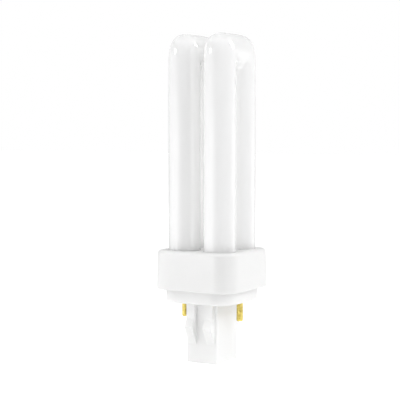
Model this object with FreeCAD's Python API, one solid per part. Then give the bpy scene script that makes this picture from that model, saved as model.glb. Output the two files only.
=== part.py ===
import FreeCAD
import Part
import math
import os

# Compact fluorescent lamp: two squared U-tubes, joined into one sealed vessel, on a two-pin plug-in base.
# Millimetres, +Z up the tubes, origin at the middle of the base's underside, which seats on a lampholder.
# X runs through the two contact pins. Each U lies in a plane along Y, and the U's stand side by side in X.

Vector = FreeCAD.Vector
UP = Vector(0, 0, 1)
TOLERANCE = 1e-4

# Sealed glass vessel
TUBE_DIAMETER = 11.5
LEG_GAP = 3.1            # clear space between the two legs of one U
U_GAP = 3.1              # clear space between the two U's
GLASS_HEIGHT = 77.5      # collar top to crown
CROWN_DEPTH = 12.1       # glass from the arch under a crown to its top
CROWN_WIDTH = 10.8       # a crown is a little narrower than the legs
CROWN_SQUARENESS = 5.0   # 2 is a round bend, higher is squarer
CROWN_SECTIONS = 12
CROWN_LEAD = 4.0         # straight stretch of leg that is drawn with the crown
BRIDGE_DIAMETER = 7.0
BRIDGE_HEIGHT = 7.0      # bridge axis above the collar top
BRIDGE_FILLET = 0.9
CLOSED_END_RADIUS = 3.5
PINCH_TAPER = 3.0
PINCH_LAND = 1.4
PINCH_THICKNESS = 2.8
PINCH_CLEARANCE = 0.4    # above the flange

# Contact pins, of brass tube with a shoulder and a head
PIN_SPACING = 23.0
PIN_DIAMETER = 2.35
PIN_LENGTH = 6.9
PIN_WALL = 0.5
PIN_TIP_RADIUS = 0.5
PIN_TIP_WALL = 1.2
PIN_SHOULDER = 0.2       # the part in the base is thicker by this all round
PIN_HEAD_LIP = 0.4
PIN_HEAD_HEIGHT = 0.5
PIN_CLEARANCE = 0.03
CRIMP_COUNT = 3
CRIMP_PITCH = 1.1
CRIMP_RADIUS = 0.45
CRIMP_DEPTH = 0.16
CRIMP_FROM_SEAT = 2.0

# Lower moulding: step, flange and plug
PIN_EDGE = 1.425         # step outside the pins
STEP_HEIGHT = 4.7
STEP_EDGE_RADIUS = 0.6
BASE_CORNER = 7.2        # corner radius shared by step and collar
FLANGE_OVERLAP = 0.8     # flange beyond the step
FLANGE_HEIGHT = 2.2
FLOOR = 1.8
HOUSING_WALL = 1.6
PIN_BOSS_HEIGHT = 1.2
PIN_BOSS_WALL = 1.2
PLUG_WIDTH = 12.8
PLUG_DEPTH = 15.0
PLUG_LENGTH = 22.2
PLUG_WALL = 1.3
PLUG_EDGE_RADIUS = 0.5

# Latch ribs, two on each broad face of the plug
RIB_WIDTH = 3.3
RIB_SPACING = 7.6        # between the middles of the two ribs
RIB_LAND = 1.6           # height over the plug face beside the seat
RIB_TOOTH = 3.3          # height over the plug face at the tooth
RIB_LAND_LENGTH = 6.0
RIB_FLANK_LENGTH = 2.8
RIB_RAMP_LENGTH = 6.6
RIB_TOOTH_RADIUS = 0.4

# Collar that holds the four legs
COLLAR_HEIGHT = 14.0
COLLAR_OVERHANG = 2.5    # collar beyond the step
COLLAR_MARGIN = 3.55     # collar beyond the glass, where that needs more room
COLLAR_DRAFT = 0.35      # each side is this much narrower at the top
COLLAR_ROOF = 2.0
COLLAR_TOP_RADIUS = 1.2
COLLAR_RIM_RADIUS = 0.4
COLLAR_LEDGE = 0.6       # ledge that the flange bears on
LEG_CLEARANCE = 0.15
SOCKET_WALL = 1.0
SOCKET_LENGTH = 4.5
FLANGE_CLEARANCE = 0.1

# Starter and the leads, inside the base
STARTER_LENGTH = 14.5
STARTER_NECK = 1.6
STARTER_EDGE = 1.8
STARTER_GAP = 1.8        # between the bottle and the capacitor
CAPACITOR_WIDTH = 7.5
CAPACITOR_DEPTH = 2.8
CAPACITOR_HEIGHT = 8.0
CAPACITOR_EDGE = 0.5
STARTER_CLEARANCE = 0.3
LEAD_DIAMETER = 0.5
LEAD_SPACING = 4.4       # between the two leads of one pinch
LEAD_BEND = 0.8
LEAD_IN_PIN = 1.5
STUB_SPACING = 3.0       # between the starter's own two leads
STUB_HEIGHT = 2.5

# Places and sizes that follow from those above
TUBE_RADIUS = TUBE_DIAMETER / 2
LEG_Y = (TUBE_DIAMETER + LEG_GAP) / 2
LEG_X = (TUBE_DIAMETER + U_GAP) / 2
PIN_X = PIN_SPACING / 2
PIN_SHANK_DIAMETER = PIN_DIAMETER + 2 * PIN_SHOULDER
PIN_HEAD_DIAMETER = PIN_SHANK_DIAMETER + 2 * PIN_HEAD_LIP
STEP_WIDTH = PIN_SPACING + PIN_DIAMETER + 2 * PIN_EDGE
GLASS_WIDTH = 2 * (LEG_X + TUBE_RADIUS)
COLLAR_WIDTH = max(STEP_WIDTH + 2 * COLLAR_OVERHANG, GLASS_WIDTH + 2 * COLLAR_MARGIN)
FLANGE_WIDTH = STEP_WIDTH + 2 * FLANGE_OVERLAP
FLANGE_CORNER = BASE_CORNER + FLANGE_OVERLAP
COLLAR_BOTTOM = STEP_HEIGHT
COLLAR_TOP = COLLAR_BOTTOM + COLLAR_HEIGHT
FLANGE_TOP = COLLAR_BOTTOM + FLANGE_HEIGHT
CROWN_TOP = COLLAR_TOP + GLASS_HEIGHT
ARCH_RADIUS = LEG_GAP / 2
ARCH_Z = CROWN_TOP - CROWN_DEPTH - ARCH_RADIUS
CROWN_BOTTOM = ARCH_Z - CROWN_LEAD
PINCH_END = FLANGE_TOP + PINCH_CLEARANCE
PINCH_SHOULDER = PINCH_END + PINCH_LAND
LEG_END = PINCH_SHOULDER + PINCH_TAPER
PIN_HEAD_SEAT = FLOOR + PIN_BOSS_HEIGHT
PIN_HEAD_TOP = PIN_HEAD_SEAT + PIN_HEAD_HEIGHT
LEAD_LEVEL = (PINCH_END + PIN_HEAD_TOP) / 2
PLUG_END = -PLUG_LENGTH
PLUG_FLOOR = PLUG_END + PLUG_WALL
WELL_WIDTH = PLUG_WIDTH - 2 * PLUG_WALL
WELL_DEPTH = PLUG_DEPTH - 2 * PLUG_WALL
STARTER_ROOM = WELL_DEPTH - CAPACITOR_DEPTH - STARTER_GAP
STARTER_DIAMETER = min(STARTER_ROOM, WELL_WIDTH) - 2 * STARTER_CLEARANCE
STARTER_BOTTOM = PLUG_FLOOR + STARTER_CLEARANCE
STARTER_TOP = STARTER_BOTTOM + STARTER_LENGTH
STARTER_Y = STARTER_CLEARANCE + STARTER_DIAMETER / 2 - WELL_DEPTH / 2
CAPACITOR_Y = WELL_DEPTH / 2 - STARTER_CLEARANCE - CAPACITOR_DEPTH / 2
STUB_X = STUB_SPACING / 2
STUB_TOP = STARTER_TOP + STUB_HEIGHT


# Closed outline of a square with round corners, centred on the lamp's axis
def rounded_square(width, corner, z):
    flat = width / 2 - corner
    turns = ((-flat, -flat), (flat, -flat), (flat, flat), (-flat, flat), (-flat, -flat))
    return Part.makePolygon([Vector(x, y, z) for x, y in turns]).makeOffset2D(corner)


def prism(outline, height):
    return Part.Face(outline).extrude(UP * height)


def cylinder(diameter, low, high, x=0.0, y=0.0):
    return Part.makeCylinder(diameter / 2, high - low, Vector(x, y, low))


def block(width, depth, low, high, y=0.0):
    return Part.makeBox(width, depth, high - low, Vector(-width / 2, y - depth / 2, low))


# Straight extrusion along X of an outline given as (y, z) points
def bar(points, low_x, high_x):
    corners = [Vector(low_x, y, z) for y, z in points]
    return Part.Face(Part.makePolygon(corners + corners[:1])).extrude(Vector(high_x - low_x, 0, 0))


def edges_at(shape, z):
    def level(box):
        return max(abs(box.ZMin - z), abs(box.ZMax - z)) < TOLERANCE
    return [edge for edge in shape.Edges if level(edge.BoundBox)]


def upright_edges(shape):
    return [edge for edge in shape.Edges if edge.BoundBox.XLength + edge.BoundBox.YLength < TOLERANCE]


# Elliptic section of a crown, in the plane at this turn round the arch's axis, from the front leg to the rear
def crown_section(x, turn):
    across = LEG_Y + TUBE_RADIUS
    rise = ARCH_RADIUS + CROWN_DEPTH
    cosine, sine = math.cos(turn), math.sin(turn)
    power = CROWN_SQUARENESS
    outside = ((abs(cosine) / across) ** power + (sine / rise) ** power) ** (-1 / power)
    middle = (outside + ARCH_RADIUS) / 2
    radial = (outside - ARCH_RADIUS) / 2
    half_width = TUBE_RADIUS + (CROWN_WIDTH / 2 - TUBE_RADIUS) * sine ** 2
    place = FreeCAD.Matrix(
        half_width, 0, 0, x,
        0, -radial * cosine, sine, -middle * cosine,
        0, radial * sine, cosine, ARCH_Z + middle * sine,
        0, 0, 0, 1,
    )
    return Part.Wire(Part.makeCircle(1).transformGeometry(place).Edges)


# Squared bend that joins the front and rear legs of one U over a small round arch
def crown(x):
    drops = (CROWN_LEAD, CROWN_LEAD / 2)
    turns = [math.pi * step / CROWN_SECTIONS for step in range(CROWN_SECTIONS + 1)]
    sections = [crown_section(x, turn) for turn in turns]
    front = [sections[0].translated(UP * -drop) for drop in drops]
    rear = [sections[-1].translated(UP * -drop) for drop in reversed(drops)]
    return Part.makeLoft(front + sections + rear, True, False)


# Leg whose foot is pressed flat round the two leads of an electrode
def pinched_leg(x, y):
    leg = cylinder(TUBE_DIAMETER, PINCH_END, CROWN_BOTTOM, x, y)
    waste = (
        (PINCH_THICKNESS / 2, PINCH_END),
        (PINCH_THICKNESS / 2, PINCH_SHOULDER),
        (TUBE_RADIUS, LEG_END),
        (TUBE_DIAMETER, LEG_END),
        (TUBE_DIAMETER, PINCH_END),
    )
    for side in (-1, 1):
        outline = [(y + side * out, z) for out, z in waste]
        leg = leg.cut(bar(outline, x - TUBE_DIAMETER, x + TUBE_DIAMETER))
    return leg


# Leg whose foot is melted shut to a round end
def closed_leg(x, y):
    leg = cylinder(TUBE_DIAMETER, LEG_END, CROWN_BOTTOM, x, y)
    return leg.makeFillet(CLOSED_END_RADIUS, edges_at(leg, LEG_END))


# The sealed glass: two U's, and the bridge that joins their rear legs so that the arc has one path
def discharge_tube():
    pieces = []
    for x in (-LEG_X, LEG_X):
        pieces += [crown(x), pinched_leg(x, -LEG_Y), closed_leg(x, LEG_Y)]
    bridge_z = COLLAR_TOP + BRIDGE_HEIGHT
    bridge_radius = BRIDGE_DIAMETER / 2
    start = Vector(-LEG_X, LEG_Y, bridge_z)
    pieces.append(Part.makeCylinder(bridge_radius, 2 * LEG_X, start, Vector(1, 0, 0)))
    glass = pieces[0].fuse(pieces[1:]).removeSplitter()

    def on_bridge(vertex):
        return abs(math.hypot(vertex.Y - LEG_Y, vertex.Z - bridge_z) - bridge_radius) < TOLERANCE
    seams = [edge for edge in glass.Edges if all(map(on_bridge, edge.Vertexes))]
    seams = [edge for edge in seams if edge.BoundBox.ZLength > bridge_radius]
    return glass.makeFillet(BRIDGE_FILLET, seams)


# Upper moulding: a drafted cap with a socket round each leg and a ledge for the flange below
def tube_collar():
    low = rounded_square(COLLAR_WIDTH, BASE_CORNER, COLLAR_BOTTOM)
    high = rounded_square(COLLAR_WIDTH - 2 * COLLAR_DRAFT, BASE_CORNER, COLLAR_TOP)
    body = Part.makeLoft([low, high], True, True)
    body = body.makeFillet(COLLAR_TOP_RADIUS, edges_at(body, COLLAR_TOP))
    body = body.makeFillet(COLLAR_RIM_RADIUS, edges_at(body, COLLAR_BOTTOM))
    recess_width = FLANGE_WIDTH + 2 * FLANGE_CLEARANCE
    recess = rounded_square(recess_width, FLANGE_CORNER + FLANGE_CLEARANCE, COLLAR_BOTTOM)
    cavity = rounded_square(recess_width - 2 * COLLAR_LEDGE, BASE_CORNER, FLANGE_TOP)
    roof = COLLAR_TOP - COLLAR_ROOF
    body = body.cut([prism(recess, FLANGE_HEIGHT), prism(cavity, roof - FLANGE_TOP)])
    bore = TUBE_DIAMETER + 2 * LEG_CLEARANCE
    legs = [(x, y) for x in (-LEG_X, LEG_X) for y in (-LEG_Y, LEG_Y)]
    into_roof = roof + COLLAR_ROOF / 2
    sockets = [cylinder(bore + 2 * SOCKET_WALL, roof - SOCKET_LENGTH, into_roof, x, y) for x, y in legs]
    bores = [cylinder(bore, FLANGE_TOP, COLLAR_TOP, x, y) for x, y in legs]
    return body.fuse(sockets).cut(bores).removeSplitter()


# Rib with a ramped tooth that a lampholder's spring catches behind
def latch_rib(x, side):
    root = PLUG_DEPTH / 2 - PLUG_WALL / 2
    face = PLUG_DEPTH / 2
    tooth_z = -RIB_LAND_LENGTH - RIB_FLANK_LENGTH
    profile = (
        (root, 0),
        (face + RIB_LAND, 0),
        (face + RIB_LAND, -RIB_LAND_LENGTH),
        (face + RIB_TOOTH, tooth_z),
        (face, tooth_z - RIB_RAMP_LENGTH),
        (root, tooth_z - RIB_RAMP_LENGTH),
    )
    rib = bar([(side * y, z) for y, z in profile], x - RIB_WIDTH / 2, x + RIB_WIDTH / 2)
    return rib.makeFillet(RIB_TOOTH_RADIUS, edges_at(rib, tooth_z))


# Lower moulding: flange, step with its floor and pin bosses, and the hollow plug with its latch ribs
def plug_housing():
    step = prism(rounded_square(STEP_WIDTH, BASE_CORNER, 0), FLANGE_TOP)
    step = step.makeFillet(STEP_EDGE_RADIUS, edges_at(step, 0))
    flange = prism(rounded_square(FLANGE_WIDTH, FLANGE_CORNER, COLLAR_BOTTOM), FLANGE_HEIGHT)
    plug = block(PLUG_WIDTH, PLUG_DEPTH, PLUG_END, FLOOR)
    plug = plug.makeFillet(PLUG_EDGE_RADIUS, upright_edges(plug) + edges_at(plug, PLUG_END))
    ribs = [latch_rib(x, side) for x in (-RIB_SPACING / 2, RIB_SPACING / 2) for side in (-1, 1)]
    room_width = STEP_WIDTH - 2 * HOUSING_WALL
    room = prism(rounded_square(room_width, BASE_CORNER - HOUSING_WALL, FLOOR), FLANGE_TOP - FLOOR)
    body = step.fuse([flange, plug] + ribs).cut(room)
    hole = PIN_SHANK_DIAMETER + 2 * PIN_CLEARANCE
    pocket = PIN_HEAD_DIAMETER + 2 * PIN_CLEARANCE
    waste = [block(WELL_WIDTH, WELL_DEPTH, PLUG_FLOOR, FLOOR)]
    bosses = []
    for x in (-PIN_X, PIN_X):
        bosses.append(cylinder(hole + 2 * PIN_BOSS_WALL, FLOOR / 2, PIN_HEAD_SEAT, x))
        waste.append(cylinder(hole, 0, PIN_HEAD_SEAT, x))
        waste.append(cylinder(pocket, PIN_HEAD_SEAT, FLANGE_TOP, x))
    return body.fuse(bosses).cut(waste).removeSplitter()


# Headed brass tube, closed and rounded at the tip, with a row of crimps on each of its two outer quarters
def contact_pin(x):
    pin = cylinder(PIN_DIAMETER, -PIN_LENGTH, PIN_HEAD_SEAT, x)
    pin = pin.makeFillet(PIN_TIP_RADIUS, edges_at(pin, -PIN_LENGTH))
    shank = cylinder(PIN_SHANK_DIAMETER, 0, PIN_HEAD_SEAT, x)
    head = cylinder(PIN_HEAD_DIAMETER, PIN_HEAD_SEAT, PIN_HEAD_TOP, x)
    waste = [cylinder(PIN_DIAMETER - 2 * PIN_WALL, PIN_TIP_WALL - PIN_LENGTH, PIN_HEAD_TOP, x)]
    reach = (PIN_DIAMETER / 2 + CRIMP_RADIUS - CRIMP_DEPTH) * math.sqrt(0.5)
    out = math.copysign(reach, x)
    for crimp in range(CRIMP_COUNT):
        z = -CRIMP_FROM_SEAT - crimp * CRIMP_PITCH
        waste += [Part.makeSphere(CRIMP_RADIUS, Vector(x + out, y, z)) for y in (-reach, reach)]
    return pin.fuse([shank, head]).cut(waste).removeSplitter()


# Round wire along straight runs, with an arc at each corner
def bent_wire(points):
    edges = []
    start = points[0]
    for before, corner, after in zip(points, points[1:], points[2:]):
        back = (before - corner).normalize()
        ahead = (after - corner).normalize()
        half_angle = back.getAngle(ahead) / 2
        trim = LEAD_BEND / math.tan(half_angle)
        inward = (back + ahead).normalize() * (LEAD_BEND / math.sin(half_angle) - LEAD_BEND)
        arc_start = corner + back * trim
        arc_end = corner + ahead * trim
        edges.append(Part.LineSegment(start, arc_start).toShape())
        edges.append(Part.Arc(arc_start, corner + inward, arc_end).toShape())
        start = arc_end
    edges.append(Part.LineSegment(start, points[-1]).toShape())
    section = Part.Wire(Part.makeCircle(LEAD_DIAMETER / 2, points[0], points[1] - points[0]))
    return Part.Wire(edges).makePipeShell([section], True, False)


# Wire from the foot of a pinch at start_x, across the base, and down at the second place to its end
def electrode_lead(start_x, end_x, end_y, end_z):
    foot = Vector(start_x, -LEG_Y, PINCH_END)
    end = Vector(end_x, end_y, end_z)
    return bent_wire([foot, Vector(foot.x, foot.y, LEAD_LEVEL), Vector(end.x, end.y, LEAD_LEVEL), end])


def pin_lead(side):
    return electrode_lead(side * (LEG_X + LEAD_SPACING / 2), side * PIN_X, 0, PIN_HEAD_TOP - LEAD_IN_PIN)


def starter_lead(side):
    return electrode_lead(side * (LEG_X - LEAD_SPACING / 2), side * STUB_X, STARTER_Y, STUB_TOP)


# Glow switch: a small sealed glass bottle, pinched at the top round two stub leads
def starter_bottle():
    shoulder = STARTER_TOP - STARTER_NECK
    body = cylinder(STARTER_DIAMETER, STARTER_BOTTOM, shoulder, 0, STARTER_Y)
    body = body.makeFillet(STARTER_EDGE, edges_at(body, STARTER_BOTTOM) + edges_at(body, shoulder))
    neck_width = STUB_SPACING + 2 * LEAD_DIAMETER
    neck = block(neck_width, 2 * LEAD_DIAMETER, shoulder - STARTER_EDGE, STARTER_TOP, STARTER_Y)
    stubs = [cylinder(LEAD_DIAMETER, shoulder, STUB_TOP, x, STARTER_Y) for x in (-STUB_X, STUB_X)]
    return body.fuse([neck] + stubs).removeSplitter()


# Suppression capacitor beside the glow switch, its two wire legs bent over to the stubs
def starter_capacitor():
    top = STARTER_BOTTOM + CAPACITOR_HEIGHT
    body = block(CAPACITOR_WIDTH, CAPACITOR_DEPTH, STARTER_BOTTOM, top, CAPACITOR_Y)
    body = body.makeFillet(CAPACITOR_EDGE, body.Edges)
    level = STARTER_TOP + STUB_HEIGHT / 2
    wires = []
    for x in (-STUB_X, STUB_X):
        foot = Vector(x, CAPACITOR_Y, top - CAPACITOR_EDGE)
        end = Vector(x, STARTER_Y + LEAD_DIAMETER / 2, level)
        wires.append(bent_wire([foot, Vector(x, CAPACITOR_Y, level), end]))
    return body.fuse(wires)


parts = {
    "discharge_tube": discharge_tube(),
    "tube_collar": tube_collar(),
    "plug_housing": plug_housing(),
    "contact_pin_left": contact_pin(-PIN_X),
    "contact_pin_right": contact_pin(PIN_X),
    "starter_bottle": starter_bottle(),
    "starter_capacitor": starter_capacitor(),
    "pin_lead_left": pin_lead(-1),
    "pin_lead_right": pin_lead(1),
    "starter_lead_left": starter_lead(-1),
    "starter_lead_right": starter_lead(1),
}

os.makedirs("parts", exist_ok=True)
for name, shape in parts.items():
    shape.exportStep(f"parts/{name}.step")
    print(f"{name}: {len(shape.Solids)} solid, valid {shape.isValid()}, {shape.Volume:.1f} mm3")
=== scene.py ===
import math

import bmesh
import bpy
from mathutils import Euler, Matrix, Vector


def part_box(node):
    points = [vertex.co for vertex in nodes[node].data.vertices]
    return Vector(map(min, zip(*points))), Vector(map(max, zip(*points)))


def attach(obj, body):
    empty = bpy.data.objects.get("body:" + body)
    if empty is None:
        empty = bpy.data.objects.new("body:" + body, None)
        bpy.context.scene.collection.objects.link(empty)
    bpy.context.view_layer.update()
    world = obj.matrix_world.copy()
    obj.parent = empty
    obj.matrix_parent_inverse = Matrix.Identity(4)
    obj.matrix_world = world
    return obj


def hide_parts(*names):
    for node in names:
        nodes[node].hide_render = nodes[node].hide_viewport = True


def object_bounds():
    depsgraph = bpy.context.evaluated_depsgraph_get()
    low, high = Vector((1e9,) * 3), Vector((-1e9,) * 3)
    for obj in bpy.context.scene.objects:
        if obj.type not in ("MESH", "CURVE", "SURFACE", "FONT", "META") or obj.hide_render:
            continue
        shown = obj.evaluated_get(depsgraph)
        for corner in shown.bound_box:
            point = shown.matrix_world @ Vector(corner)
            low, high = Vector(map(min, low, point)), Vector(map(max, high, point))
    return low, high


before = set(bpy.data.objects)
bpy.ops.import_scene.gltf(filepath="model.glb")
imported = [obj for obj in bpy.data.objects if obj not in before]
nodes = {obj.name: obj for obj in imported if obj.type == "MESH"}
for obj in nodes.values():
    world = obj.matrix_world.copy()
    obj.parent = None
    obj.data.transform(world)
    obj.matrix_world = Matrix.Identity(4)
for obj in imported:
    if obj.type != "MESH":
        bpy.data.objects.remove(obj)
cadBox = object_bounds()
mm = 0.001


def inMillimetres(box):
    return [tuple(round(v / mm, 2) for v in corner) for corner in box]


print("frame:", len(nodes), "nodes, box", inMillimetres(cadBox))


# node helpers, shared by the geometry trees and the materials

def mathNode(tree, operation, *terms, clamp=False):
    node = tree.nodes.new("ShaderNodeMath")
    node.operation = operation
    node.use_clamp = clamp
    for socket, term in zip(node.inputs, terms):
        feed(tree, term, socket)
    return node.outputs[0]


def feed(tree, term, socket):
    if isinstance(term, bpy.types.NodeSocket):
        tree.links.new(term, socket)
    else:
        socket.default_value = term


def makeNode(tree, kind, settings=None, **inputs):
    node = tree.nodes.new(kind)
    for key, value in (settings or {}).items():
        setattr(node, key, value)
    for key, value in inputs.items():
        feed(tree, value, node.inputs[key.replace("_", " ")])
    return node


def newGeometryTree(name, inputs):
    tree = bpy.data.node_groups.new(name, "GeometryNodeTree")
    for label, kind in inputs.items():
        tree.interface.new_socket(name=label, in_out="INPUT", socket_type=kind)
    tree.interface.new_socket(name="Geometry", in_out="OUTPUT", socket_type="NodeSocketGeometry")
    entry = tree.nodes.new("NodeGroupInput")
    return tree, {label: entry.outputs[label] for label in inputs}


def bakeTree(name, tree, values):
    piece = bpy.data.objects.new(name, bpy.data.meshes.new(name))
    bpy.context.scene.collection.objects.link(piece)
    modifier = piece.modifiers.new("build", "NODES")
    modifier.node_group = tree
    for item in tree.interface.items_tree:
        if item.in_out == "INPUT":
            modifier[item.identifier] = values[item.name]  # by identifier, before the first evaluation
    depsgraph = bpy.context.evaluated_depsgraph_get()
    mesh = bpy.data.meshes.new_from_object(piece.evaluated_get(depsgraph))
    piece.modifiers.remove(modifier)
    piece.data = mesh
    print("baked", name, len(mesh.polygons), "faces")
    return piece


# materials

def newMaterial(name):
    material = bpy.data.materials.new(name)
    material.use_nodes = True
    tree = material.node_tree
    shader = tree.nodes["Principled BSDF"]
    coords = tree.nodes.new("ShaderNodeTexCoord").outputs["Object"]
    return material, tree, shader, coords


def noiseField(tree, coords, scale, detail=2.0, upwards=1.0):
    mapping = makeNode(tree, "ShaderNodeMapping", Vector=coords, Scale=(1, 1, upwards))
    noise = makeNode(tree, "ShaderNodeTexNoise", Vector=mapping.outputs[0], Scale=scale, Detail=detail)
    return noise.outputs["Fac"]


def rampColour(tree, field, span, low, high):
    ramp = tree.nodes.new("ShaderNodeValToRGB")
    for element, place, colour in zip(ramp.color_ramp.elements, span, (low, high)):
        element.position = place
        element.color = (*colour, 1)
    feed(tree, field, ramp.inputs["Fac"])
    return ramp.outputs["Color"]


def rampValue(tree, field, span):
    spread = makeNode(tree, "ShaderNodeMapRange", Value=field, To_Min=span[0], To_Max=span[1])
    return spread.outputs["Result"]


def bumpFrom(tree, height, strength, distance):
    bump = makeNode(tree, "ShaderNodeBump", Height=height, Strength=strength, Distance=distance)
    return bump.outputs["Normal"]


def soakLight(shader, weight, depth):
    shader.inputs["Subsurface Weight"].default_value = weight
    shader.inputs["Subsurface Radius"].default_value = (1, 1, 1)
    shader.inputs["Subsurface Scale"].default_value = depth


phosphorFinish = {
    "coatPale": (0.998, 0.998, 0.995),
    "coatGrey": (0.992, 0.992, 0.988),
    "mottleScale": 140.0,     # per metre, so blots of about 7 mm
    "mottleUpwards": 0.3,     # of that scale, so the blots are tall
    "mottleSpan": (0.3, 0.7),
    "powderScale": 5200.0,
    "powderRoughness": (0.55, 0.75),
    "powderShine": 0.15,
    "glassIor": 2.0,          # both faces of the glass wall reflect
    "glassRoughness": 0.012,
    "drawScale": 90.0,        # faint waves along the drawn glass
    "drawUpwards": 0.12,
    "drawStrength": 0.05,
    "drawDepth": 0.2 * mm,
    "glow": 1.0,              # light that soaks through the powder coat
    "glowDepth": 10 * mm,
}


def phosphorGlass():
    material, tree, shader, coords = newMaterial("phosphorGlass")
    f = phosphorFinish
    mottle = noiseField(tree, coords, f["mottleScale"], detail=3.0, upwards=f["mottleUpwards"])
    colour = rampColour(tree, mottle, f["mottleSpan"], f["coatGrey"], f["coatPale"])
    feed(tree, colour, shader.inputs["Base Color"])
    powder = noiseField(tree, coords, f["powderScale"], detail=1.0)
    feed(tree, rampValue(tree, powder, f["powderRoughness"]), shader.inputs["Roughness"])
    shader.inputs["Specular IOR Level"].default_value = f["powderShine"]
    soakLight(shader, f["glow"], f["glowDepth"])
    shader.inputs["Coat Weight"].default_value = 1.0
    shader.inputs["Coat IOR"].default_value = f["glassIor"]
    shader.inputs["Coat Roughness"].default_value = f["glassRoughness"]
    drawn = noiseField(tree, coords, f["drawScale"], detail=1.0, upwards=f["drawUpwards"])
    feed(tree, bumpFrom(tree, drawn, f["drawStrength"], f["drawDepth"]), shader.inputs["Coat Normal"])
    return material


plasticFinish = {
    "pale": (0.915, 0.915, 0.91),
    "deep": (0.9, 0.9, 0.895),
    "flowScale": 120.0,
    "flowSpan": (0.3, 0.7),
    "grainScale": 3500.0,
    "grainStrength": 0.06,
    "grainDepth": 0.03 * mm,
    "roughness": (0.24, 0.36),
    "ior": 1.7,
    "shine": 1.0,
    "soak": 0.5,
    "soakDepth": 2.5 * mm,
}


def satinPlastic(name):
    material, tree, shader, coords = newMaterial(name)
    f = plasticFinish
    flow = noiseField(tree, coords, f["flowScale"], detail=3.0)
    grain = noiseField(tree, coords, f["grainScale"], detail=2.0)
    colour = rampColour(tree, flow, f["flowSpan"], f["deep"], f["pale"])
    feed(tree, colour, shader.inputs["Base Color"])
    feed(tree, rampValue(tree, grain, f["roughness"]), shader.inputs["Roughness"])
    shader.inputs["IOR"].default_value = f["ior"]
    shader.inputs["Specular IOR Level"].default_value = f["shine"]
    soakLight(shader, f["soak"], f["soakDepth"])
    feed(tree, bumpFrom(tree, grain, f["grainStrength"], f["grainDepth"]), shader.inputs["Normal"])
    return material


brassFinish = {
    "bright": (0.8, 0.66, 0.2),
    "dull": (0.46, 0.34, 0.07),
    "tarnishScale": 900.0,
    "tarnishSpan": (0.35, 0.6),
    "roughness": (0.22, 0.4),
    "drawScale": 6000.0,      # fine scratches along the pin
    "drawUpwards": 0.04,
    "drawStrength": 0.15,
    "drawDepth": 0.02 * mm,
}


def pinBrass():
    material, tree, shader, coords = newMaterial("pinBrass")
    f = brassFinish
    tarnish = noiseField(tree, coords, f["tarnishScale"], detail=4.0)
    drawn = noiseField(tree, coords, f["drawScale"], detail=2.0, upwards=f["drawUpwards"])
    colour = rampColour(tree, tarnish, f["tarnishSpan"], f["dull"], f["bright"])
    feed(tree, colour, shader.inputs["Base Color"])
    shader.inputs["Metallic"].default_value = 1.0
    feed(tree, rampValue(tree, tarnish, f["roughness"]), shader.inputs["Roughness"])
    feed(tree, bumpFrom(tree, drawn, f["drawStrength"], f["drawDepth"]), shader.inputs["Normal"])
    return material


starterFinish = {
    "glass": (0.86, 0.91, 0.9),
    "getter": (0.42, 0.42, 0.4),
    "filmScale": 220.0,
    "filmSpan": (0.35, 0.85),
    "roughness": (0.05, 0.14),
    "ior": 1.5,
}


def starterGlass():
    material, tree, shader, coords = newMaterial("starterGlass")
    f = starterFinish
    film = noiseField(tree, coords, f["filmScale"], detail=2.0)
    colour = rampColour(tree, film, f["filmSpan"], f["glass"], f["getter"])
    feed(tree, colour, shader.inputs["Base Color"])
    feed(tree, rampValue(tree, film, f["roughness"]), shader.inputs["Roughness"])
    shader.inputs["IOR"].default_value = f["ior"]
    return material


capacitorFinish = {
    "body": (0.55, 0.22, 0.07),
    "edge": (0.66, 0.3, 0.11),
    "poolScale": 500.0,
    "poolSpan": (0.3, 0.7),
    "roughness": (0.12, 0.3),
    "poolStrength": 0.3,
    "poolDepth": 0.1 * mm,
}


def dippedCase():
    material, tree, shader, coords = newMaterial("dippedCase")
    f = capacitorFinish
    pool = noiseField(tree, coords, f["poolScale"], detail=2.0)
    colour = rampColour(tree, pool, f["poolSpan"], f["body"], f["edge"])
    feed(tree, colour, shader.inputs["Base Color"])
    feed(tree, rampValue(tree, pool, f["roughness"]), shader.inputs["Roughness"])
    feed(tree, bumpFrom(tree, pool, f["poolStrength"], f["poolDepth"]), shader.inputs["Normal"])
    return material


wireFinish = {
    "tin": (0.72, 0.71, 0.69),
    "oxide": (0.52, 0.51, 0.49),
    "skinScale": 1500.0,
    "skinSpan": (0.35, 0.6),
    "roughness": (0.25, 0.45),
}


def tinnedWire():
    material, tree, shader, coords = newMaterial("tinnedWire")
    f = wireFinish
    skin = noiseField(tree, coords, f["skinScale"], detail=3.0)
    colour = rampColour(tree, skin, f["skinSpan"], f["oxide"], f["tin"])
    feed(tree, colour, shader.inputs["Base Color"])
    shader.inputs["Metallic"].default_value = 1.0
    feed(tree, rampValue(tree, skin, f["roughness"]), shader.inputs["Roughness"])
    return material


# sealed glass: two squared U's and the bridge between their rear legs

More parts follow.
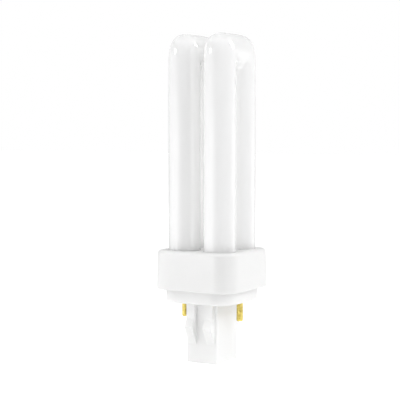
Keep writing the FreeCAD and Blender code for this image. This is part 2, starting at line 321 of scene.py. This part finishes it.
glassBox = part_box("discharge_tube")
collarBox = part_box("tube_collar")
glass = {
    "tubeRadius": 5.75 * mm,
    "legX": 7.3 * mm,
    "legY": 7.3 * mm,
    "archRadius": 1.55 * mm,
    "crownDepth": 12.1 * mm,
    "crownWidth": 10.8 * mm,
    "squareness": 5.0,
    "crownTop": glassBox[1].z,
    "closedEnd": 11.7 * mm,
    "closedRadius": 3.5 * mm,
    "pinchEnd": glassBox[0].z,
    "pinchLand": 1.4 * mm,
    "pinchTaper": 3.0 * mm,
    "pinchHalf": 1.4 * mm,
    "bridgeRadius": 3.5 * mm,
    "bridgeZ": collarBox[1].z + 7.0 * mm,
    "bridgeFillet": 0.9 * mm,
    "legShare": 0.34,         # of the rows, for each leg
}
glassMesh = {
    "along": 151,
    "around": 81,
    "bridgeAlong": 61,
    "bridgeAround": 65,
    "bridgeBody": 0.9,        # share of the bridge's rows in sight, the rest close it inside the legs
    "bridgeSunk": 1.0 * mm,   # how far it goes into a leg
    "poleFrom": 0.9999,       # share of a leg's run past which the foot closes to a point
    "joinWithin": 0.002 * mm,
}


def gridField(tree, rows, columns):
    grid = makeNode(tree, "GeometryNodeMeshGrid", Size_X=1.0, Size_Y=1.0, Vertices_X=rows, Vertices_Y=columns)
    place = makeNode(tree, "ShaderNodeSeparateXYZ", Vector=tree.nodes.new("GeometryNodeInputPosition").outputs[0])
    along = mathNode(tree, "ADD", place.outputs["X"], 0.5)
    around = mathNode(tree, "MULTIPLY", mathNode(tree, "ADD", place.outputs["Y"], 0.5), 2 * math.pi)
    return grid.outputs["Mesh"], along, around


def shapeGrid(tree, mesh, x, y, z):
    spot = makeNode(tree, "ShaderNodeCombineXYZ", X=x, Y=y, Z=z)
    moved = makeNode(tree, "GeometryNodeSetPosition", Geometry=mesh, Position=spot.outputs[0])
    closed = makeNode(tree, "GeometryNodeMergeByDistance", Geometry=moved.outputs[0],
                      Distance=glassMesh["joinWithin"])
    return closed.outputs[0]


def oneU(tree, size):
    def m(operation, *terms, clamp=False):
        return mathNode(tree, operation, *terms, clamp=clamp)
    mesh, along, around = gridField(tree, glassMesh["along"], glassMesh["around"])
    share = size["legShare"]
    bend = m("DIVIDE", m("SUBTRACT", along, share), m("SUBTRACT", 1.0, m("MULTIPLY", share, 2.0)), clamp=True)
    turn = m("MULTIPLY", bend, math.pi)
    cosine = m("COSINE", turn)
    sine = m("SINE", turn)
    isRear = m("GREATER_THAN", along, 0.5)

    # squared outline of the crown about the arch
    archZ = m("SUBTRACT", m("SUBTRACT", size["crownTop"], size["crownDepth"]), size["archRadius"])
    across = m("ADD", size["legY"], size["tubeRadius"])
    rise = m("ADD", size["archRadius"], size["crownDepth"])
    sideways = m("POWER", m("DIVIDE", m("ABSOLUTE", cosine), across), size["squareness"])
    upwards = m("POWER", m("DIVIDE", m("ABSOLUTE", sine), rise), size["squareness"])
    outside = m("POWER", m("ADD", sideways, upwards), m("DIVIDE", -1.0, size["squareness"]))
    middle = m("MULTIPLY", m("ADD", outside, size["archRadius"]), 0.5)
    radial = m("MULTIPLY", m("SUBTRACT", outside, size["archRadius"]), 0.5)
    narrowing = m("SUBTRACT", m("MULTIPLY", size["crownWidth"], 0.5), size["tubeRadius"])
    halfWidth = m("ADD", size["tubeRadius"], m("MULTIPLY", narrowing, m("MULTIPLY", sine, sine)))

    # straight legs below the crown, with rows closer together towards the feet
    beyond = m("MAXIMUM", m("SUBTRACT", share, along), m("SUBTRACT", along, m("SUBTRACT", 1.0, share)))
    run = m("DIVIDE", beyond, share, clamp=True)
    left = m("SUBTRACT", 1.0, run)
    footZ = m("ADD", size["pinchEnd"], m("MULTIPLY", isRear, m("SUBTRACT", size["closedEnd"], size["pinchEnd"])))
    legLength = m("SUBTRACT", archZ, footZ)
    height = m("MULTIPLY", legLength, m("MULTIPLY", left, left))
    drop = m("SUBTRACT", legLength, height)

    # rear foot melted round, front foot pressed flat, both closed by a pole
    inRound = m("DIVIDE", m("SUBTRACT", size["closedRadius"], height), size["closedRadius"], clamp=True)
    sag = m("SUBTRACT", 1.0, m("SQRT", m("SUBTRACT", 1.0, m("MULTIPLY", inRound, inRound))))
    inset = m("MULTIPLY", m("MULTIPLY", m("DIVIDE", size["closedRadius"], size["tubeRadius"]), sag), isRear)
    ring = m("MULTIPLY", m("SUBTRACT", 1.0, inset), m("LESS_THAN", run, glassMesh["poleFrom"]))
    slope = m("DIVIDE", m("SUBTRACT", size["tubeRadius"], size["pinchHalf"]), size["pinchTaper"])
    taper = m("MULTIPLY", m("MAXIMUM", m("SUBTRACT", height, size["pinchLand"]), 0.0), slope)
    slab = m("ADD", m("ADD", size["pinchHalf"], taper), m("MULTIPLY", isRear, size["tubeRadius"]))
    outward = m("MULTIPLY", m("MULTIPLY", radial, m("SINE", around)), ring)
    outward = m("MAXIMUM", m("MINIMUM", outward, slab), m("MULTIPLY", slab, -1.0))

    reach = m("ADD", middle, outward)
    x = m("MULTIPLY", m("MULTIPLY", halfWidth, m("COSINE", around)), ring)
    y = m("MULTIPLY", m("MULTIPLY", reach, cosine), -1.0)
    z = m("SUBTRACT", m("ADD", archZ, m("MULTIPLY", reach, sine)), drop)
    return shapeGrid(tree, mesh, x, y, z)


def bridge(tree, size):
    def m(operation, *terms, clamp=False):
        return mathNode(tree, operation, *terms, clamp=clamp)
    mesh, along, around = gridField(tree, glassMesh["bridgeAlong"], glassMesh["bridgeAround"])
    across = m("SUBTRACT", m("MULTIPLY", along, 2.0), 1.0)
    inSight = glassMesh["bridgeBody"]
    body = m("DIVIDE", m("ABSOLUTE", across), inSight, clamp=True)  # 1 where the bridge meets a leg
    cap = m("DIVIDE", m("SUBTRACT", 1.0, m("ABSOLUTE", across)), 1 - inSight, clamp=True)
    halfGap = m("SUBTRACT", size["legX"], size["tubeRadius"])
    toLeg = m("MULTIPLY", m("SUBTRACT", 1.0, body), halfGap)
    inFillet = m("DIVIDE", m("SUBTRACT", size["bridgeFillet"], toLeg), size["bridgeFillet"], clamp=True)
    flare = m("SUBTRACT", 1.0, m("SQRT", m("SUBTRACT", 1.0, m("MULTIPLY", inFillet, inFillet))))
    radius = m("ADD", size["bridgeRadius"], m("MULTIPLY", flare, size["bridgeFillet"]))
    yOff = m("MULTIPLY", radius, m("COSINE", around))
    zOff = m("MULTIPLY", radius, m("SINE", around))
    chord = m("SUBTRACT", m("MULTIPLY", size["tubeRadius"], size["tubeRadius"]), m("MULTIPLY", yOff, yOff))
    wall = m("SUBTRACT", size["legX"], m("SQRT", chord))
    sunk = m("MULTIPLY", m("SUBTRACT", 1.0, cap), glassMesh["bridgeSunk"])
    x = m("MULTIPLY", m("SIGN", across), m("ADD", m("MULTIPLY", body, wall), sunk))
    y = m("ADD", size["legY"], m("MULTIPLY", yOff, cap))
    z = m("ADD", size["bridgeZ"], m("MULTIPLY", zOff, cap))
    return shapeGrid(tree, mesh, x, y, z)


def buildGlass(material):
    inputs = {key: "NodeSocketFloat" for key in glass}
    tree, size = newGeometryTree("sealedGlass", {**inputs, "finish": "NodeSocketMaterial"})
    start = makeNode(tree, "ShaderNodeCombineXYZ", X=mathNode(tree, "MULTIPLY", size["legX"], -1.0))
    step = makeNode(tree, "ShaderNodeCombineXYZ", X=mathNode(tree, "MULTIPLY", size["legX"], 2.0))
    spots = makeNode(tree, "GeometryNodeMeshLine", Count=2)
    feed(tree, start.outputs[0], spots.inputs["Start Location"])
    feed(tree, step.outputs[0], spots.inputs["Offset"])
    pair = makeNode(tree, "GeometryNodeInstanceOnPoints", Points=spots.outputs[0], Instance=oneU(tree, size))
    legs = makeNode(tree, "GeometryNodeRealizeInstances", Geometry=pair.outputs[0])
    fused = makeNode(tree, "GeometryNodeMeshBoolean", {"operation": "UNION", "solver": "EXACT"})
    for part in (legs.outputs[0], bridge(tree, size)):
        tree.links.new(part, fused.inputs["Mesh 2"])
    real = makeNode(tree, "GeometryNodeRealizeInstances", Geometry=fused.outputs["Mesh"])
    smooth = makeNode(tree, "GeometryNodeSetShadeSmooth", Geometry=real.outputs[0])
    coated = makeNode(tree, "GeometryNodeSetMaterial", Geometry=smooth.outputs[0], Material=size["finish"])
    leave = tree.nodes.new("NodeGroupOutput")
    tree.links.new(coated.outputs[0], leave.inputs[0])
    piece = bakeTree("glassTubes", tree, {**glass, "finish": material})
    skin = bmesh.new()
    skin.from_mesh(piece.data)
    bmesh.ops.recalc_face_normals(skin, faces=skin.faces)
    skin.to_mesh(piece.data)
    skin.free()
    return piece


glassTubes = buildGlass(phosphorGlass())
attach(glassTubes, "root")
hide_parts("discharge_tube")
print("glass", len(glassTubes.data.polygons), "faces, CAD box", inMillimetres(glassBox))

finishes = {
    "tube_collar": satinPlastic("collarPlastic"),
    "plug_housing": satinPlastic("plugPlastic"),
    "contact_pin": pinBrass(),
    "starter_bottle": starterGlass(),
    "starter_capacitor": dippedCase(),
    "pin_lead": tinnedWire(),
}
finishes["starter_lead"] = finishes["pin_lead"]
for name, node in nodes.items():
    for start, material in finishes.items():
        if name.startswith(start):
            node.material_slots[0].material = material
print("finishes given to", len(nodes) - 1, "nodes")


# stage: pale floor, white surround, soft lamps at both sides and behind

stage = {
    "floorZ": cadBox[0].z,
    "floorSize": 6.0,
    "floorColour": (0.9, 0.9, 0.9, 1),
    "floorLift": 0.56,        # added for the camera, makes the bare floor white
    "floorGloss": 0.64,       # added in reflections, near the object
    "glossNear": 0.1,
    "glossFar": 0.4,          # where that has faded, past the foot of the card
    "surroundLight": 1.32,    # at eye level
    "overheadLight": 0.17,
    "frontLight": 0.88,       # share of it on the camera's side
}


def seenRays(tree):
    path = tree.nodes.new("ShaderNodeLightPath")
    direct = mathNode(tree, "ADD", path.outputs["Is Camera Ray"], path.outputs["Is Glossy Ray"])
    return mathNode(tree, "ADD", direct, path.outputs["Is Transmission Ray"], clamp=True)


def buildFloor():
    mesh = bpy.data.meshes.new("paleFloor")
    half = stage["floorSize"] / 2
    corners = [(-half, -half), (half, -half), (half, half), (-half, half)]
    mesh.from_pydata([(x, y, stage["floorZ"]) for x, y in corners], [], [(0, 1, 2, 3)])
    floor = bpy.data.objects.new("paleFloor", mesh)
    bpy.context.scene.collection.objects.link(floor)
    material = bpy.data.materials.new("paleFloor")
    material.use_nodes = True
    tree = material.node_tree
    tree.nodes.clear()
    matt = makeNode(tree, "ShaderNodeBsdfDiffuse", Color=stage["floorColour"])
    path = tree.nodes.new("ShaderNodeLightPath")
    clear = mathNode(tree, "ADD", path.outputs["Is Camera Ray"], path.outputs["Is Transmission Ray"], clamp=True)
    seen = mathNode(tree, "MULTIPLY", clear, stage["floorLift"])
    coords = tree.nodes.new("ShaderNodeTexCoord")
    reach = makeNode(tree, "ShaderNodeVectorMath", {"operation": "LENGTH"}, Vector=coords.outputs["Object"])
    fading = makeNode(tree, "ShaderNodeMapRange", Value=reach.outputs["Value"], From_Min=stage["glossNear"],
                      From_Max=stage["glossFar"], To_Min=stage["floorGloss"], To_Max=0.0)
    mirrored = mathNode(tree, "MULTIPLY", path.outputs["Is Glossy Ray"], fading.outputs["Result"])
    lift = makeNode(tree, "ShaderNodeEmission", Strength=mathNode(tree, "ADD", seen, mirrored))
    both = tree.nodes.new("ShaderNodeAddShader")
    tree.links.new(matt.outputs[0], both.inputs[0])
    tree.links.new(lift.outputs[0], both.inputs[1])
    leave = tree.nodes.new("ShaderNodeOutputMaterial")
    tree.links.new(both.outputs[0], leave.inputs["Surface"])
    mesh.materials.append(material)


def buildSurround():
    world = bpy.data.worlds.new("whiteSurround")
    world.use_nodes = True
    bpy.context.scene.world = world
    tree = world.node_tree
    background = tree.nodes["Background"]
    background.inputs["Color"].default_value = (1, 1, 1, 1)
    coords = tree.nodes.new("ShaderNodeTexCoord")
    aimed = makeNode(tree, "ShaderNodeSeparateXYZ", Vector=coords.outputs["Generated"])
    falling = makeNode(tree, "ShaderNodeMapRange", Value=aimed.outputs["Z"], To_Min=stage["surroundLight"],
                       To_Max=stage["overheadLight"])
    towards = makeNode(tree, "ShaderNodeVectorMath", {"operation": "DOT_PRODUCT"})
    tree.links.new(coords.outputs["Generated"], towards.inputs[0])
    towards.inputs[1].default_value = aim(0, 0)
    dimFront = makeNode(tree, "ShaderNodeMapRange", Value=towards.outputs["Value"], To_Min=1.0,
                        To_Max=stage["frontLight"])
    lighting = mathNode(tree, "MULTIPLY", falling.outputs["Result"], dimFront.outputs["Result"])
    strength = makeNode(tree, "ShaderNodeMapRange", Value=seenRays(tree), To_Min=lighting, To_Max=1.0)
    feed(tree, strength.outputs["Result"], background.inputs["Strength"])


cameraTurn = 30.78            # degrees from the front, towards the right
lamps = {                     # turn from the camera, height, distance, width, tall, brightness, where it shows
    "leftCatch": (-70, 22, 0.28, 0.055, 0.035, 8.0, "gloss"),
    "leftStrip": (-84, 32, 0.7, 0.55, 0.3, 2.75, "matt"),
    "rightFill": (58, 33, 0.7, 0.5, 0.3, 3.25, "matt"),
    "rightCatch": (108, 34, 0.28, 0.06, 0.1, 6.0, "gloss"),
    "rightBack": (146, 15, 0.7, 0.5, 0.45, 0.9, "matt"),
}


def aim(turn, height):
    around = math.radians(cameraTurn + turn)
    up = math.radians(height)
    return Vector((math.sin(around) * math.cos(up), -math.cos(around) * math.cos(up), math.sin(up)))


def buildLamps():
    middle = Vector((0, 0, (cadBox[0].z + cadBox[1].z) / 2))
    for name, (turn, height, distance, width, tall, brightness, shows) in lamps.items():
        light = bpy.data.lights.new(name, "AREA")
        light.shape = "RECTANGLE"
        light.size = width
        light.size_y = tall
        light.energy = brightness * math.pi * width * tall
        lamp = bpy.data.objects.new(name, light)
        bpy.context.scene.collection.objects.link(lamp)
        away = aim(turn, height)
        lamp.location = middle + away * distance
        lamp.rotation_euler = away.to_track_quat("Z", "Y").to_euler()
        lamp.visible_camera = False
        lamp.visible_glossy = shows == "gloss"
        lamp.visible_diffuse = shows == "matt"


greyCard = {                  # curved, all round the object, and shows only in gloss
    "radius": 0.32,
    "steps": 6,               # faces between two of its turns
    "rows": (-0.02, 0.05, 0.09, 0.15, 0.19, 0.3),
    "tones": {                # turn from the camera: tone at each row, from the floor up
        -180: (0.4, 0.4, 0.7, 0.85, 0.85, 0.85), -140: (0.5, 0.5, 0.6, 0.7, 0.7, 0.7),
        -105: (1.1, 1.0, 0.7, 0.4, 0.3, 0.3), -62: (1.6, 1.3, 0.7, 0.4, 0.3, 0.3),
        -52: (1.5, 1.4, 0.4, 0.3, 0.3, 0.3), -44: (0.9, 0.8, 0.2, 0.2, 0.3, 0.3),
        -22: (0.15, 0.1, 0.05, 0.1, 0.3, 0.3), 70: (0.05, 0.05, 0.1, 0.1, 0.3, 0.3),
        88: (0.5, 0.5, 0.4, 0.3, 0.3, 0.3), 118: (1.2, 1.1, 0.6, 0.4, 0.3, 0.3),
        145: (0.5, 0.5, 0.6, 0.7, 0.7, 0.7), 180: (0.4, 0.4, 0.7, 0.85, 0.85, 0.85)},
}


def buildGreyCard():
    tall = len(greyCard["rows"])
    turns = sorted(greyCard["tones"])
    count = greyCard["steps"]
    steps = [low + (high - low) * k / count for low, high in zip(turns, turns[1:]) for k in range(count)]
    steps.append(turns[-1])
    points, tones = [], []
    for turn in steps:
        low = max(t for t in turns if t <= turn)
        high = min(t for t in turns if t >= turn)
        share = (turn - low) / (high - low) if high > low else 0.0
        for z, dim, pale in zip(greyCard["rows"], greyCard["tones"][low], greyCard["tones"][high]):
            points.append(aim(turn, 0) * greyCard["radius"] + Vector((0, 0, z)))
            tones.append(dim + (pale - dim) * share)
    faces = [(c * tall + r, (c + 1) * tall + r, (c + 1) * tall + r + 1, c * tall + r + 1)
             for c in range(len(steps) - 1) for r in range(tall - 1)]
    mesh = bpy.data.meshes.new("greyCard")
    mesh.from_pydata(points, [], faces)
    mesh.attributes.new("tone", "FLOAT", "POINT").data.foreach_set("value", tones)
    card = bpy.data.objects.new("greyCard", mesh)
    bpy.context.scene.collection.objects.link(card)
    material = bpy.data.materials.new("greyCard")
    material.use_nodes = True
    tree = material.node_tree
    tree.nodes.clear()
    tone = makeNode(tree, "ShaderNodeAttribute", {"attribute_name": "tone"})
    dim = makeNode(tree, "ShaderNodeEmission", Strength=tone.outputs["Fac"])
    clear = tree.nodes.new("ShaderNodeBsdfTransparent")
    bounces = tree.nodes.new("ShaderNodeLightPath").outputs["Diffuse Depth"]
    shown = makeNode(tree, "ShaderNodeMixShader", Fac=mathNode(tree, "GREATER_THAN", bounces, 0.5))
    tree.links.new(dim.outputs[0], shown.inputs[1])
    tree.links.new(clear.outputs[0], shown.inputs[2])   # light that bounces between the tubes passes it
    leave = tree.nodes.new("ShaderNodeOutputMaterial")
    tree.links.new(shown.outputs[0], leave.inputs["Surface"])
    mesh.materials.append(material)
    for ray in ("camera", "diffuse", "transmission", "shadow", "volume_scatter"):
        setattr(card, "visible_" + ray, False)


camera = {
    "place": (217.9 * mm, -374.5 * mm, 62.8 * mm),
    "pitch": 86.52,
    "lens": 107.6,
    "sensor": 36.0,
    "nearest": 0.01,
}


def buildCamera():
    data = bpy.data.cameras.new("photoCamera")
    data.sensor_width = camera["sensor"]
    data.lens = camera["lens"]
    data.clip_start = camera["nearest"]
    eye = bpy.data.objects.new("photoCamera", data)
    bpy.context.scene.collection.objects.link(eye)
    eye.location = camera["place"]
    eye.rotation_euler = Euler((math.radians(camera["pitch"]), 0, math.radians(cameraTurn)))
    bpy.context.scene.camera = eye


lightBounces = {"diffuse": 16, "total": 24}    # light goes on between the white tubes
buildFloor()
buildSurround()
buildLamps()
buildGreyCard()
buildCamera()
bpy.context.scene.view_settings.view_transform = "Standard"
bpy.context.scene.cycles.diffuse_bounces = lightBounces["diffuse"]
bpy.context.scene.cycles.max_bounces = lightBounces["total"]
print("stage, lamps and camera set")
